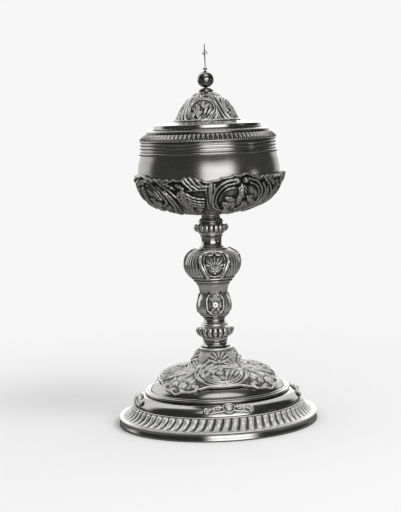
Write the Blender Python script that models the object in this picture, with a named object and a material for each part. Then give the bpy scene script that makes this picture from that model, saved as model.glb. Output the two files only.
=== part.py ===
"""Chased silver ciborium: foot, stem, cup and calyx on one tie rod, with a lid that lifts off.

Frame: metres, +Z up, origin at the centre of the underside of the foot.
Every outline is written in millimetres as (radius, height) points and turned about the Z axis.
Angles are azimuths in degrees, 0 at the front (-Y) and growing towards +X.
"""
import math

import bmesh
import bpy
from mathutils import Vector

MM = 0.001

# ---------------------------------------------------------------- driving dimensions, millimetres
GAP = 0.3                 # clearance between touching pieces
FOOT_RADIUS = 82.0        # outside of the rim band
BAND_TOP = 5.9            # top of the rim band
SHEET = 1.0               # wall of raised sheet work
THICK_SHEET = 1.3         # wall of chased and cast work
TORUS_TOP = 25.0          # seat of the reeded ring and of the dome
CEILING = 40.6            # flat top of the foot dome, where the tie rod pulls
SPOOL_BOTTOM = 62.6
LOWER_KNOP_BOTTOM = 67.9
LOWER_KNOP_TOP = 81.9
BALUSTER_BOTTOM = 87.4
BALUSTER_TOP = 144.0
NECK_TOP = 154.3
UPPER_KNOP_TOP = 164.4
CALYX_BOTTOM = 171.8
BOWL_TOP = 221.5
MOUTH_RADIUS = 54.6       # inside of the bowl at its rim
LID_BOTTOM = BOWL_TOP + GAP
BAND_HEIGHT = 9.5         # height of the lid's reeded band
DOME_BOTTOM = 247.6
DOME_TOP = 267.2
BALL_CENTRE = 280.9
BALL_RADIUS = 6.8
SHAFT_BOTTOM = 291.0
CROSS_TOP = 309.5
CROSS_ARM_HEIGHT = 302.4
CROSS_YAW = -70.0         # the arms point mostly along the line of sight

ROD_RADIUS = 3.0
ROD_BORE = 3.3
STUD_RADIUS = 1.5
STUD_BORE = 1.8

FOOT_LOBES = 4            # cartouches round the foot shoulder
LID_LOBES = 4             # cartouches round the lid dome
KNOP_LOBES = 3            # panels round the baluster
PLAQUES = ("front", "right", "back", "left")
PLAQUE_AZIMUTH = 7.0      # of the front plaque

BEZEL_PLAY = 0.4          # between the lid's bezel and the mouth of the bowl

SIDES_LARGE = 36          # facets round the foot, the cup and the lid
SIDES_MEDIUM = 24         # round the knops
SIDES_SMALL = 16          # round the rod, the collars and the finial


# ---------------------------------------------------------------- outlines
def arc(centre, radius, start, end, steps):
    """Points on a circular arc, angles in degrees from +radius towards +height."""
    angles = [math.radians(start + (end - start) * k / steps) for k in range(steps + 1)]
    return [(centre[0] + radius * math.cos(a), centre[1] + radius * math.sin(a)) for a in angles]


def offset(path, distance):
    """The path moved sideways, to the left of its direction for a positive distance."""
    moved = []
    for i, point in enumerate(path):
        before = Vector(path[max(i - 1, 0)])
        after = Vector(path[min(i + 1, len(path) - 1)])
        along = (after - before).normalized()
        moved.append((point[0] - along.y * distance, point[1] + along.x * distance))
    return moved


def wall(outside, thickness):
    """Closed outline of a sheet whose outside runs from bottom to top.

    The inside has half the points, and doesn't reach below or above the outside.
    """
    return list(outside) + list(reversed(inner_path(outside, thickness)))


def inner_path(outside, thickness):
    low, high = outside[0][1], outside[-1][1]
    inside = [(radius, min(max(height, low), high)) for radius, height in offset(outside, thickness)]
    last = len(inside) - 1
    return [point for k, point in enumerate(inside) if k == last or k % 2 == 0]


# ---------------------------------------------------------------- solids
def material(name, colour, roughness, metallic=1.0):
    made = bpy.data.materials.new(name)
    made.use_nodes = True
    shader = made.node_tree.nodes["Principled BSDF"]
    shader.inputs["Base Color"].default_value = (*colour, 1.0)
    shader.inputs["Roughness"].default_value = roughness
    shader.inputs["Metallic"].default_value = metallic
    return made


def polished(name):
    return material(name + "_silver", (0.80, 0.79, 0.77), 0.12)


def chased(name):
    return material(name + "_chased_silver", (0.66, 0.65, 0.63), 0.30)


def gilt(name):
    return material(name + "_gilt", (0.83, 0.62, 0.28), 0.20)


def steel(name):
    return material(name + "_steel", (0.45, 0.45, 0.46), 0.35)


def at_azimuth(radius, height, azimuth):
    return Vector((radius * math.sin(azimuth), -radius * math.cos(azimuth), height)) * MM


def azimuths(sides):
    return [2 * math.pi * k / sides for k in range(sides)]


def finish_object(name, shape, finish):
    """Turn a bmesh into a named object, smooth but for its sharp edges."""
    bmesh.ops.recalc_face_normals(shape, faces=shape.faces)
    if shape.calc_volume(signed=True) < 0.0:
        bmesh.ops.reverse_faces(shape, faces=shape.faces)
    mesh = bpy.data.meshes.new(name)
    shape.to_mesh(mesh)
    shape.free()
    mesh.shade_smooth()
    mesh.set_sharp_from_angle(angle=math.radians(35))
    mesh.materials.append(finish(name))
    made = bpy.data.objects.new(name, mesh)
    bpy.context.scene.collection.objects.link(made)
    return made


def bridge(shape, rings):
    """Quads between each ring of vertices and the next; every ring is closed."""
    for ring, following in zip(rings, rings[1:]):
        for k in range(len(ring)):
            n = (k + 1) % len(ring)
            shape.faces.new((ring[k], ring[n], following[n], following[k]))


def turn(name, outline, sides, finish, warp=None):
    """The closed outline turned about Z; warp(radius, height, azimuth) may bend it."""
    def outline_at(azimuth):
        return [warp(radius, height, azimuth) if warp else (radius, height) for radius, height in outline]

    turn_changing(name, outline_at, sides, finish)


def turn_changing(name, outline_at, sides, finish):
    """As turn, for an outline that is a function of the azimuth."""
    shape = bmesh.new()
    rings = []
    for azimuth in azimuths(sides):
        rings.append([shape.verts.new(at_azimuth(*point, azimuth)) for point in outline_at(azimuth)])
    bridge(shape, rings + rings[:1])
    finish_object(name, shape, finish)


def turn_on_axis(name, outline, sides, finish):
    """As turn, for an outline that starts and ends on the axis."""
    shape = bmesh.new()
    rings = []
    for radius, height in outline[1:-1]:
        rings.append([shape.verts.new(at_azimuth(radius, height, azimuth)) for azimuth in azimuths(sides)])
    bridge(shape, rings)
    cap(shape, rings[0], outline[0][1])
    cap(shape, rings[-1], outline[-1][1])
    finish_object(name, shape, finish)


def cap(shape, ring, height):
    """Triangles from a ring to a point on the axis."""
    tip = shape.verts.new(at_azimuth(0.0, height, 0.0))
    for k in range(len(ring)):
        shape.faces.new((tip, ring[k], ring[(k + 1) % len(ring)]))


def prism(name, across_flats, bottom, top, bore, finish):
    """Hexagon nut with a round bore."""
    flat = math.pi / 3

    def outline_at(azimuth):
        outer = across_flats / 2 / math.cos((azimuth + flat / 2) % flat - flat / 2)
        return [(bore, bottom), (outer, bottom), (outer, top), (bore, top)]

    turn_changing(name, outline_at, 12, finish)


def lobed(lobes, depth, low, high):
    """A warp that pulls the outline in between its lobes, fading out at both heights."""
    def warp(radius, height, azimuth):
        share = (height - low) / (high - low)
        if not 0.0 < share < 1.0:
            return radius, height
        fade = math.sin(math.pi * share)
        return radius - depth * fade * (0.5 - 0.5 * math.cos(lobes * azimuth)), height
    return warp


# ---------------------------------------------------------------- foot
def foot_rim_band():
    inside, flange, lip = FOOT_RADIUS - SHEET, FOOT_RADIUS - 6.0, FOOT_RADIUS - 3.0
    outline = [(flange, 0.0), (FOOT_RADIUS, 0.0), (FOOT_RADIUS, BAND_TOP), (lip, BAND_TOP),
               (lip, BAND_TOP - SHEET), (inside, BAND_TOP - SHEET), (inside, 1.2), (flange, 1.2)]
    turn("foot_rim_band", outline, SIDES_LARGE, polished)


def foot_gadroon_flange():
    edge, bottom = FOOT_RADIUS - 0.2, BAND_TOP + GAP
    hollow = [(79.6, bottom + SHEET), (76.4, 7.8), (73.2, 9.3), (71.0, 11.3), (69.9, 13.6), (69.2, 16.8)]
    outside = [(edge, bottom), (edge, bottom + SHEET)] + hollow
    turn("foot_gadroon_flange", wall(outside, SHEET), SIDES_LARGE, chased)


def torus_outside():
    """Half-round moulding from its foot up to the seat of the reeded ring."""
    return [(68.4, 17.1), (67.7, 19.6), (65.6, 22.3), (62.6, 24.2), (60.4, TORUS_TOP)]


def foot_torus():
    outside = torus_outside() + [(54.4, TORUS_TOP)]
    turn("foot_torus", wall(outside, SHEET), SIDES_LARGE, polished)


def foot_reeded_ring():
    seat = TORUS_TOP + GAP
    reed = 1.3
    bumps = arc((58.9, seat + reed), reed, -60, 100, 3) + arc((56.9, seat + 2.2), reed, 20, 150, 2)
    outline = [(55.2, seat)] + bumps + [(55.2, seat + 2.6)]
    turn("foot_reeded_ring", outline, SIDES_LARGE, polished)


def dome_outside():
    return [(54.9, TORUS_TOP + GAP), (54.2, 28.6), (52.0, 32.0), (48.0, 35.0), (41.0, 38.0), (32.0, 40.0),
            (24.0, CEILING)]


def foot_dome():
    outside = dome_outside() + [(ROD_BORE, CEILING)]
    turn("foot_dome", wall(outside, SHEET), SIDES_LARGE, polished)


def shoulder_border(azimuth):
    """Height of the lower border: high at the cartouches, low on the diagonals."""
    return 33.0 + 3.0 * math.cos(FOOT_LOBES * azimuth)


def foot_shoulder():
    """Bell, shoulder and skirt, the skirt lying close over the dome down to its lobed border."""
    skirt_top, rows, lift = 36.6, 3, 0.7
    bell = [(45.4, 39.9), (40.6, 42.5), (33.0, 45.4), (26.0, 46.9), (21.2, 49.4), (19.4, 53.0), (16.8, 57.2),
            (12.8, SPOOL_BOTTOM - GAP), (ROD_BORE + 3.0, SPOOL_BOTTOM - GAP)]
    bell_inside = inner_path(bell, THICK_SHEET)[1:]

    def skirt(border, off_dome):
        """Points above the dome, from the border up, moved off it along its mean slope."""
        heights = [border + (skirt_top - border) * k / (rows - 1) for k in range(rows)]
        return [(dome_radius(height) + 0.6 * off_dome, height + 0.8 * off_dome) for height in heights]

    def outline_at(azimuth):
        border = shoulder_border(azimuth)
        outside = skirt(border, lift + THICK_SHEET) + bell
        inside = skirt(border, lift) + bell_inside
        return outside + list(reversed(inside))

    turn_changing("foot_shoulder", outline_at, SIDES_LARGE, chased)


def dome_radius(height):
    """Radius of the foot dome's outside at a height, by linear steps along its outline."""
    path = dome_outside()
    for (r0, z0), (r1, z1) in zip(path, path[1:]):
        if z0 <= height <= z1:
            return r0 + (r1 - r0) * (height - z0) / (z1 - z0)
    return path[0][0] if height < path[0][1] else path[-1][0]


def foot_plaque(name, azimuth):
    """Curved cast plaque: a lobed shield that lies on the torus."""
    half_angle, low, high = math.radians(17.5), 0.16, 0.86
    base, rise = 0.35, 1.5
    seat = offset(torus_outside(), -GAP)
    spokes, steps = 18, 3

    def on_torus(share, lift):
        position = share * (len(seat) - 1)
        k = min(int(position), len(seat) - 2)
        start, end = Vector(seat[k]), Vector(seat[k + 1])
        along = (end - start).normalized()
        point = start.lerp(end, position - k)
        return point.x + along.y * lift, point.y - along.x * lift

    def ring_point(spoke, reach, lift):
        angle = 2 * math.pi * spoke / spokes
        lobe = 1.0 + 0.10 * math.cos(4 * angle)
        across = math.cos(angle) * lobe * reach
        up = math.sin(angle) * reach
        radius, height = on_torus((low + high) / 2 + (high - low) / 2 * up, lift)
        return at_azimuth(radius, height, math.radians(azimuth) + half_angle * across)

    shape = bmesh.new()
    levels = [(k / steps, base) for k in range(1, steps + 1)]
    levels += [(k / steps, base + rise * (1.0 - 0.6 * (k / steps) ** 2)) for k in range(steps, 0, -1)]
    rings = []
    for reach, lift in levels:
        rings.append([shape.verts.new(ring_point(spoke, reach, lift)) for spoke in range(spokes)])
    bridge(shape, rings)
    for ring, lift in ((rings[0], base), (rings[-1], base + rise)):
        tip = shape.verts.new(ring_point(0, 0.0, lift))
        for k in range(spokes):
            shape.faces.new((tip, ring[k], ring[(k + 1) % spokes]))
    finish_object(name, shape, chased)


# ---------------------------------------------------------------- stem
def foot_spool():
    outside = [(11.2, SPOOL_BOTTOM), (9.6, 64.2), (9.4, 66.0), (10.6, LOWER_KNOP_BOTTOM - GAP)]
    turn("foot_spool", wall(outside, 2.0), SIDES_SMALL, polished)


def lower_knop():
    outside = [(10.4, LOWER_KNOP_BOTTOM), (11.6, 70.4), (13.9, 72.6), (15.6, 75.6), (15.0, 78.6), (12.8, 80.6),
               (9.2, LOWER_KNOP_TOP)]
    turn("lower_knop", wall(outside, 1.5), SIDES_MEDIUM, chased)


def lower_stem_ring():
    bottom, top = LOWER_KNOP_TOP + GAP, BALUSTER_BOTTOM - GAP
    outside = [(9.8, bottom), (8.7, 83.6), (8.5, 85.2), (10.2, top)]
    turn("lower_stem_ring", wall(outside, 1.5), SIDES_SMALL, polished)


def baluster():
    outside = [(10.2, BALUSTER_BOTTOM), (13.0, 90.0), (14.8, 94.4), (13.9, 100.0), (11.5, 106.4), (13.0, 112.4),
               (18.8, 120.2), (22.2, 125.0), (23.4, 130.4), (22.0, 135.8), (18.4, 140.0), (11.6, BALUSTER_TOP)]
    turn("baluster", wall(outside, 1.6), SIDES_MEDIUM, chased, lobed(KNOP_LOBES, 1.2, 112.0, 142.0))


def stem_neck():
    bottom, top = BALUSTER_TOP + GAP, NECK_TOP
    outside = [(11.2, bottom), (9.4, 146.0), (8.6, 149.6), (9.2, 152.4), (11.0, top)]
    turn("stem_neck", wall(outside, 1.8), SIDES_SMALL, polished)


def upper_knop():
    bottom = NECK_TOP + GAP
    outside = [(10.6, bottom), (12.0, 157.0), (14.0, 160.2), (13.6, 162.6), (11.2, UPPER_KNOP_TOP)]
    turn("upper_knop", wall(outside, 1.5), SIDES_MEDIUM, chased)


def upper_collar():
    bottom, top = UPPER_KNOP_TOP + GAP, CALYX_BOTTOM - GAP
    outside = [(11.4, bottom), (10.8, 166.0), (8.8, 167.9), (8.6, top)]
    turn("upper_collar", wall(outside, 1.4), SIDES_SMALL, polished)


def tie_rod():
    chamfer = 0.5
    bottom, top = 29.5, 166.6
    outline = [(0.0, bottom), (ROD_RADIUS - chamfer, bottom), (ROD_RADIUS, bottom + chamfer),
               (ROD_RADIUS, top - chamfer), (ROD_RADIUS - chamfer, top), (0.0, top)]
    turn_on_axis("tie_rod", outline, SIDES_SMALL, steel)


def tie_rod_washer():
    top = CEILING - SHEET - GAP
    outline = [(ROD_BORE, top - 1.5), (14.0, top - 1.5), (14.0, top), (ROD_BORE, top)]
    turn("tie_rod_washer", outline, SIDES_SMALL, steel)


def tie_rod_nut():
    top = CEILING - SHEET - GAP - 1.5 - GAP
    prism("tie_rod_nut", 10.0, top - 5.0, top, ROD_BORE, steel)


# ---------------------------------------------------------------- cup
def calyx_outside():
    return [(8.0, CALYX_BOTTOM), (20.0, 172.6), (30.0, 174.4), (38.0, 177.4), (45.6, 181.0), (51.6, 185.4),
            (56.0, 190.4), (58.2, 195.6), (60.0, 200.4)]


def calyx():
    """Chased false cup, open in the middle for the boss, with a scrolled rim."""
    outline = wall(calyx_outside(), THICK_SHEET)
    rim_start, rim_end = 195.0, 200.4

    def warp(radius, height, azimuth):
        share = max(0.0, (height - rim_start) / (rim_end - rim_start))
        crest = 1.6 * math.cos(4 * azimuth - 0.6) + 0.9 * math.cos(12 * azimuth)
        return radius + 0.35 * share ** 2, height + crest * share

    turn("calyx", outline, SIDES_LARGE, chased, warp)


def nested_in_calyx():
    """The part of the bowl's outside that lies against the inside of the calyx."""
    return offset(inner_path(calyx_outside(), THICK_SHEET), GAP)[1:-1]


def bowl():
    """Plain raised cup: it lies inside the calyx and stands free above it."""
    nested = nested_in_calyx()
    free = [(58.4, 203.0), (58.0, 210.0), (57.0, 216.0), (MOUTH_RADIUS + SHEET, BOWL_TOP)]
    floor = nested[0][1]
    outside = [(0.0, floor)] + nested + free
    inside = list(reversed(offset(nested + free, SHEET)))
    inside[0] = (MOUTH_RADIUS, BOWL_TOP)
    outline = outside + inside + [(0.0, floor + SHEET)]
    turn_on_axis("bowl", outline, SIDES_LARGE, polished)


def bowl_boss():
    bottom, top = 158.0, nested_in_calyx()[0][1] - GAP
    outline = [(0.0, top), (6.2, top), (6.2, bottom), (ROD_BORE, bottom), (ROD_BORE, top - 4.0), (0.0, top - 4.0)]
    turn_on_axis("bowl_boss", outline, SIDES_SMALL, polished)


# ---------------------------------------------------------------- lid
def lid_bezel():
    outer = MOUTH_RADIUS - BEZEL_PLAY
    inner, bottom, top = outer - 0.9, 213.5, 230.0
    turn("lid_bezel", [(inner, bottom), (outer, bottom), (outer, top), (inner, top)], SIDES_LARGE, gilt)


def lid_band():
    """Vertical band with three reeds over a projecting lower lip."""
    inner, outer, reed = 54.5, 55.4, 0.8
    reeds = [(outer + reed, LID_BOTTOM), (outer + reed, LID_BOTTOM + 1.1)]
    for k in range(3):
        reeds += arc((outer, LID_BOTTOM + 2.6 + 2.7 * k), reed, -80, 80, 2)
    top = LID_BOTTOM + BAND_HEIGHT
    turn("lid_band", [(inner, LID_BOTTOM)] + reeds + [(outer, top), (inner, top)], SIDES_LARGE, polished)


def lid_leaf_band():
    bottom = LID_BOTTOM + BAND_HEIGHT + GAP
    outside = [(55.6, bottom), (55.2, 233.2), (53.0, 235.6), (50.6, 237.8), (50.2, 239.6), (49.6, 240.2),
               (46.2, 241.3)]
    turn("lid_leaf_band", wall(outside, SHEET), SIDES_LARGE, chased)


def lid_step():
    outside = [(45.6, 241.8), (44.9, 242.6), (44.6, 243.4), (44.6, 244.3), (43.8, 245.0), (36.0, 246.0),
               (28.4, DOME_BOTTOM - GAP)]
    turn("lid_step", wall(outside, SHEET), SIDES_LARGE, polished)


def lid_dome():
    outside = [(27.6, DOME_BOTTOM), (25.8, 249.0), (24.6, 251.6), (21.8, 256.2), (19.2, 260.2), (16.8, 263.6),
               (13.4, 266.0), (8.0, DOME_TOP)]
    outside.append((STUD_BORE, DOME_TOP))
    turn("lid_dome", wall(outside, THICK_SHEET), SIDES_MEDIUM, chased, lobed(LID_LOBES, 0.9, DOME_BOTTOM, DOME_TOP))


def lid_leaf_cap():
    bottom = DOME_TOP + GAP
    outline = [(STUD_BORE, bottom), (7.6, bottom), (10.4, 267.2), (10.9, 267.7), (9.0, 268.7), (6.4, 269.6),
               (STUD_BORE, 269.8)]

    def leaves(radius, height, azimuth):
        reach = max(0.0, (radius - 7.0) / 5.0)
        return radius - 1.2 * reach * (0.5 - 0.5 * math.cos(8 * azimuth)), height + 0.5 * reach

    turn("lid_leaf_cap", outline, SIDES_MEDIUM, chased, leaves)


def finial_collar():
    bottom = 269.8 + GAP
    outline = [(STUD_BORE, bottom), (5.0, bottom), (5.9, bottom + 0.8), (5.8, bottom + 2.0), (4.9, bottom + 3.2),
               (4.2, bottom + 3.6), (STUD_BORE, bottom + 3.6)]
    turn("finial_collar", outline, SIDES_SMALL, polished)


def finial_ball():
    base, top = BALL_CENTRE - BALL_RADIUS + 0.3, BALL_CENTRE + BALL_RADIUS
    low_angle = math.degrees(math.asin((base - BALL_CENTRE) / BALL_RADIUS))
    sphere = arc((0.0, BALL_CENTRE), BALL_RADIUS, low_angle, 80, 9)
    outline = [(0.0, BALL_CENTRE - 1.0), (STUD_BORE, BALL_CENTRE - 1.0), (STUD_BORE, base)] + sphere
    turn_on_axis("finial_ball", outline + [(0.0, top)], SIDES_SMALL, polished)


def finial_bead():
    bottom, top = BALL_CENTRE + BALL_RADIUS + GAP, SHAFT_BOTTOM - GAP
    outline = [(0.0, bottom), (0.9, bottom), (1.8, (bottom + top) / 2 - 0.3), (1.8, (bottom + top) / 2 + 0.3),
               (0.8, top), (0.0, top)]
    turn_on_axis("finial_bead", outline, 12, polished)


def finial_cross():
    """Flat Latin cross with flared ends: half of one outline, mirrored, extruded and turned."""
    half_thick, stem_half, arm_half, reach, flare = 0.65, 0.75, 0.8, 5.6, 0.7
    top, middle, foot = CROSS_TOP, CROSS_ARM_HEIGHT, SHAFT_BOTTOM
    right = [(stem_half, foot), (stem_half, middle - arm_half), (reach - 1.2, middle - arm_half),
             (reach, middle - arm_half - flare), (reach, middle + arm_half + flare),
             (reach - 1.2, middle + arm_half), (stem_half, middle + arm_half), (stem_half, top - 1.2),
             (stem_half + flare, top)]
    outline = right + [(-x, z) for x, z in reversed(right)]
    shape = bmesh.new()
    front = [shape.verts.new(Vector((x, -half_thick, z)) * MM) for x, z in outline]
    face = shape.faces.new(front)
    grown = bmesh.ops.extrude_face_region(shape, geom=[face])
    moved = [item for item in grown["geom"] if isinstance(item, bmesh.types.BMVert)]
    bmesh.ops.translate(shape, verts=moved, vec=Vector((0.0, 2 * half_thick, 0.0)) * MM)
    bmesh.ops.triangulate(shape, faces=shape.faces)
    cross = finish_object("finial_cross", shape, polished)
    cross.rotation_euler.z = math.radians(CROSS_YAW)


def finial_stud():
    chamfer = 0.3
    bottom, top = 259.0, BALL_CENTRE - 1.4
    outline = [(0.0, bottom), (STUD_RADIUS - chamfer, bottom), (STUD_RADIUS, bottom + chamfer),
               (STUD_RADIUS, top), (0.0, top)]
    turn_on_axis("finial_stud", outline, 12, steel)


def finial_nut():
    top = DOME_TOP - THICK_SHEET - 1.0
    prism("finial_nut", 6.0, top - 2.6, top, STUD_BORE, steel)


def build():
    for leftover in list(bpy.data.objects):
        bpy.data.objects.remove(leftover, do_unlink=True)
    foot_rim_band()
    foot_gadroon_flange()
    foot_torus()
    foot_reeded_ring()
    foot_dome()
    foot_shoulder()
    for index, side in enumerate(PLAQUES):
        foot_plaque("foot_plaque_" + side, PLAQUE_AZIMUTH + 90.0 * index)
    foot_spool()
    lower_knop()
    lower_stem_ring()
    baluster()
    stem_neck()
    upper_knop()
    upper_collar()
    tie_rod()
    tie_rod_washer()
    tie_rod_nut()
    calyx()
    bowl()
    bowl_boss()
    lid_bezel()
    lid_band()
    lid_leaf_band()
    lid_step()
    lid_dome()
    lid_leaf_cap()
    finial_collar()
    finial_ball()
    finial_bead()
    finial_cross()
    finial_stud()
    finial_nut()


build()
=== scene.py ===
"""Looks of the chased silver ciborium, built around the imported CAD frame.

Every shell is a sheet turned about the Z axis, with its chasing as real relief.
Lengths are millimetres until a mesh is made; azimuth 0 is the front (-Y), growing towards +X.
In a motif's own plane u runs round the vessel and v up along the sheet, both in millimetres.
"""
import math

import bpy
import numpy as np
from mathutils import Matrix, Vector


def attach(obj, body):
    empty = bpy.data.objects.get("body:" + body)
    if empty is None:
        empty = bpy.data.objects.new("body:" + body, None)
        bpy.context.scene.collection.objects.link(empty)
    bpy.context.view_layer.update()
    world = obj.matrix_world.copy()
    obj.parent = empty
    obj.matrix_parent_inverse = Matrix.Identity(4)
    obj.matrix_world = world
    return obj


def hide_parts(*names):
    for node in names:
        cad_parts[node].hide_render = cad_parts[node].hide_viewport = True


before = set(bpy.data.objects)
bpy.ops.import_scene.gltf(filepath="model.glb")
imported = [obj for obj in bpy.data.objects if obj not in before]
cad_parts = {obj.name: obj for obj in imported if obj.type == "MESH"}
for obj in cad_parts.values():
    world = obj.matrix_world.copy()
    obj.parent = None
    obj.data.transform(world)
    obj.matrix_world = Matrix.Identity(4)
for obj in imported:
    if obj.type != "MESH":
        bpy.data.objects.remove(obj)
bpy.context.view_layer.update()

MM = 0.001
TAU = 2 * math.pi
FULL_WEAR = 0.22             # mm above or below its surroundings at which metal is fully bright or dark


# ------------------------------------------------------------------------------------ paths
def spline(points, spacing=0.4):
    """Smooth curve through a few points, resampled at even steps of about spacing."""
    points = np.array(points, float)
    if len(points) < 3:
        dense = points
    else:
        ends = np.vstack([2 * points[0] - points[1], points, 2 * points[-1] - points[-2]])
        t = np.linspace(0, 1, 24, endpoint=False)[:, None]
        parts = []
        for p0, p1, p2, p3 in zip(ends, ends[1:], ends[2:], ends[3:]):
            parts.append(0.5 * (2 * p1 + (p2 - p0) * t + (2 * p0 - 5 * p1 + 4 * p2 - p3) * t ** 2
                                + (3 * p1 - p0 - 3 * p2 + p3) * t ** 3))
        dense = np.vstack(parts + [points[-1:]])
    return resample(dense, spacing)


def lengths_of(path):
    """Distance along a path at each of its points."""
    return np.concatenate([[0], np.cumsum(np.hypot(*np.diff(path, axis=0).T))])


def resample(dense, spacing):
    length = lengths_of(dense)
    count = max(2, int(round(length[-1] / spacing)) + 1)
    at = np.linspace(0, length[-1], count)
    return np.stack([np.interp(at, length, dense[:, 0]), np.interp(at, length, dense[:, 1])], 1)


def chain(*pieces):
    """Curves end to end; a shared end point is kept once."""
    points = [pieces[0]]
    for piece in pieces[1:]:
        piece = np.array(piece, float)
        near = np.hypot(*(piece[0] - points[-1][-1])) < 1e-6
        points.append(piece[1:] if near else piece)
    return np.vstack(points)


def arc(centre, radius, start, end, steps=8):
    """Points on a circular arc, angles in degrees from +radius towards +height."""
    angle = np.radians(np.linspace(start, end, steps + 1))
    return np.stack([centre[0] + radius * np.cos(angle), centre[1] + radius * np.sin(angle)], 1)


def normals_of(path):
    """Unit normals to the right of a path that runs upwards: they point away from the axis."""
    along = np.gradient(path, axis=0)
    along /= np.maximum(np.hypot(along[:, 0], along[:, 1]), 1e-9)[:, None]
    return np.stack([along[:, 1], -along[:, 0]], 1)


# ------------------------------------------------------------------------------------ motifs
def rounded(far):
    """Height of a round section at a squared distance from its middle; its edge is at 1."""
    return np.sqrt(np.maximum(0, 1 - far))


def spiral(centre, radius, start, turns, steps=26):
    """Points winding inwards from the angle start, in degrees; positive turns go anticlockwise."""
    t = np.linspace(0, 1, steps)
    angle = math.radians(start) + TAU * turns * t
    away = radius * (1 - 0.8 * t)
    return np.stack([centre[0] + away * np.cos(angle), centre[1] + away * np.sin(angle)], 1)


class Sheet:
    """A height field over a sector of a shell that motifs are raised on.

    u runs round the vessel from the sheet's own centre line and v up along the sheet.
    """

    def __init__(self, turn, radius, v, sector, first, last, shared=None):
        self.turn, self.radius, self.v = turn, radius, v
        self.sector, self.first, self.last = sector, first, last
        self.ground, self.height = shared or (np.zeros_like(v), np.zeros_like(v))
        self.u = turn * radius

    def total(self):
        return self.ground + self.height

    def about(self, degrees):
        """The same sheet seen from another centre line; a motif there wraps over the sector's edge."""
        turn = (self.turn - math.radians(degrees) + self.sector / 2) % self.sector - self.sector / 2
        return Sheet(turn, self.radius, self.v, self.sector, self.first, self.last, (self.ground,
            self.height))

    def across(self, count, lean=0.0):
        """Place within each of count equal repeats round the vessel, from -1 to 1."""
        return ((self.turn + lean) * count / TAU + 0.5) % 1.0 * 2 - 1

    def window(self, low, high):
        """The points inside a rectangle, as a mask, with their u and v."""
        inside = ((self.u > low[0]) & (self.u < high[0]) & (self.v > low[1]) & (self.v < high[1]))
        return inside, self.u[inside], self.v[inside]

    def raise_to(self, inside, height):
        self.height[inside] = np.maximum(self.height[inside], height)

    def stroke(self, line, width, height):
        """A round wire along a line; width and height run from their first to their last value."""
        line = np.array(line, float)
        w0, w1 = width if isinstance(width, tuple) else (width, width)
        h0, h1 = height if isinstance(height, tuple) else (height, height)
        wide = max(w0, w1)
        inside, u, v = self.window(line.min(0) - wide, line.max(0) + wide)
        best = np.zeros_like(u)
        count = len(line) - 1
        for k in range(count):
            (x, y), (dx, dy) = line[k], line[k + 1] - line[k]
            t = np.clip(((u - x) * dx + (v - y) * dy) / max(dx * dx + dy * dy, 1e-9), 0, 1)
            share = (k + t) / count
            far = ((u - x - t * dx) ** 2 + (v - y - t * dy) ** 2) / (w0 + (w1 - w0) * share) ** 2
            best = np.maximum(best, (h0 + (h1 - h0) * share) * rounded(far))
        self.raise_to(inside, best)

    def line(self, points, width, height):
        """A wire along the smooth curve through a few points."""
        self.stroke(spline(points, 0.9), width, height)

    def pair(self, points, width, height):
        """The same wire on both sides of the centre line."""
        self.line(points, width, height)
        self.line(np.array(points, float) * (-1, 1), width, height)

    def volute(self, centre, radius, start, turns, width, height):
        self.stroke(spiral(centre, radius, start, turns), (width, width * 0.6), height)
        self.bead(centre, radius * 0.34, height * 1.25)

    def bead(self, centre, radius, height, squash=1.0):
        reach = (radius, radius * squash)
        inside, u, v = self.window(np.subtract(centre, reach), np.add(centre, reach))
        far = ((u - centre[0]) / reach[0]) ** 2 + ((v - centre[1]) / reach[1]) ** 2
        self.raise_to(inside, height * rounded(far))

    def pit(self, centre, radius, depth, squash=1.0):
        """A hollow pressed in beside a motif."""
        far = ((self.u - centre[0]) / radius) ** 2 + ((self.v - centre[1]) / (radius * squash)) ** 2
        self.ground -= depth * np.maximum(0, 1 - far)

    def leaf(self, base, tip, width, height, lobes=4):
        """A chased leaf with a midrib, veins and lobed edges."""
        base, tip = np.array(base, float), np.array(tip, float)
        length = np.hypot(*(tip - base))
        along = (tip - base) / length
        reach = width + 0.5
        inside, u, v = self.window(np.minimum(base, tip) - reach, np.maximum(base, tip) + reach)
        t = ((u - base[0]) * along[0] + (v - base[1]) * along[1]) / length
        side = np.abs((v - base[1]) * along[0] - (u - base[0]) * along[1])
        t_in = np.clip(t, 0, 1)
        edge = width * np.sin(math.pi * t_in ** 0.75) ** 0.7
        edge *= 0.76 + 0.24 * np.abs(np.cos(lobes * math.pi * t_in))
        x = side / np.maximum(edge, 1e-6)
        body = rounded(x ** 2) * (1 - 0.5 * np.exp(-(x / 0.16) ** 2))
        veins = 0.78 + 0.22 * np.cos(TAU * lobes * (t_in - 0.3 * x))
        self.raise_to(inside, np.where((t > 0) & (t < 1), height * body * veins, 0))

    def acanthus(self, points, width, height, fronds=6):
        """A long leaf that follows a curve, with short fronds curling off both sides of its rib."""
        rib = spline(points, 0.8)
        self.stroke(rib, (width * 0.3, width * 0.14), height)
        for share in np.linspace(0.08, 0.9, fronds):
            k = int(share * (len(rib) - 2))
            along = rib[k + 1] - rib[k]
            along /= max(np.hypot(*along), 1e-9)
            across = np.array([-along[1], along[0]])
            reach = width * (1.1 - 0.7 * share)
            for side in (-1, 1):
                bend = rib[k] + along * reach * 0.35 + across * side * reach * 0.6
                end = rib[k] + along * reach * 1.1 + across * side * reach * 0.85
                self.stroke([rib[k], bend, end], (width * 0.27, width * 0.12), height * 0.85)

    def grapes(self, top, bead, rows, height):
        """A bunch of round berries that narrows downwards."""
        for row in range(rows):
            count = rows - row
            for k in range(count):
                aside = k - (count - 1) / 2
                at = (top[0] + aside * bead * 1.8, top[1] - row * bead * 1.6)
                self.bead(at, bead, height * (1 - 0.3 * abs(aside) / rows))

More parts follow.
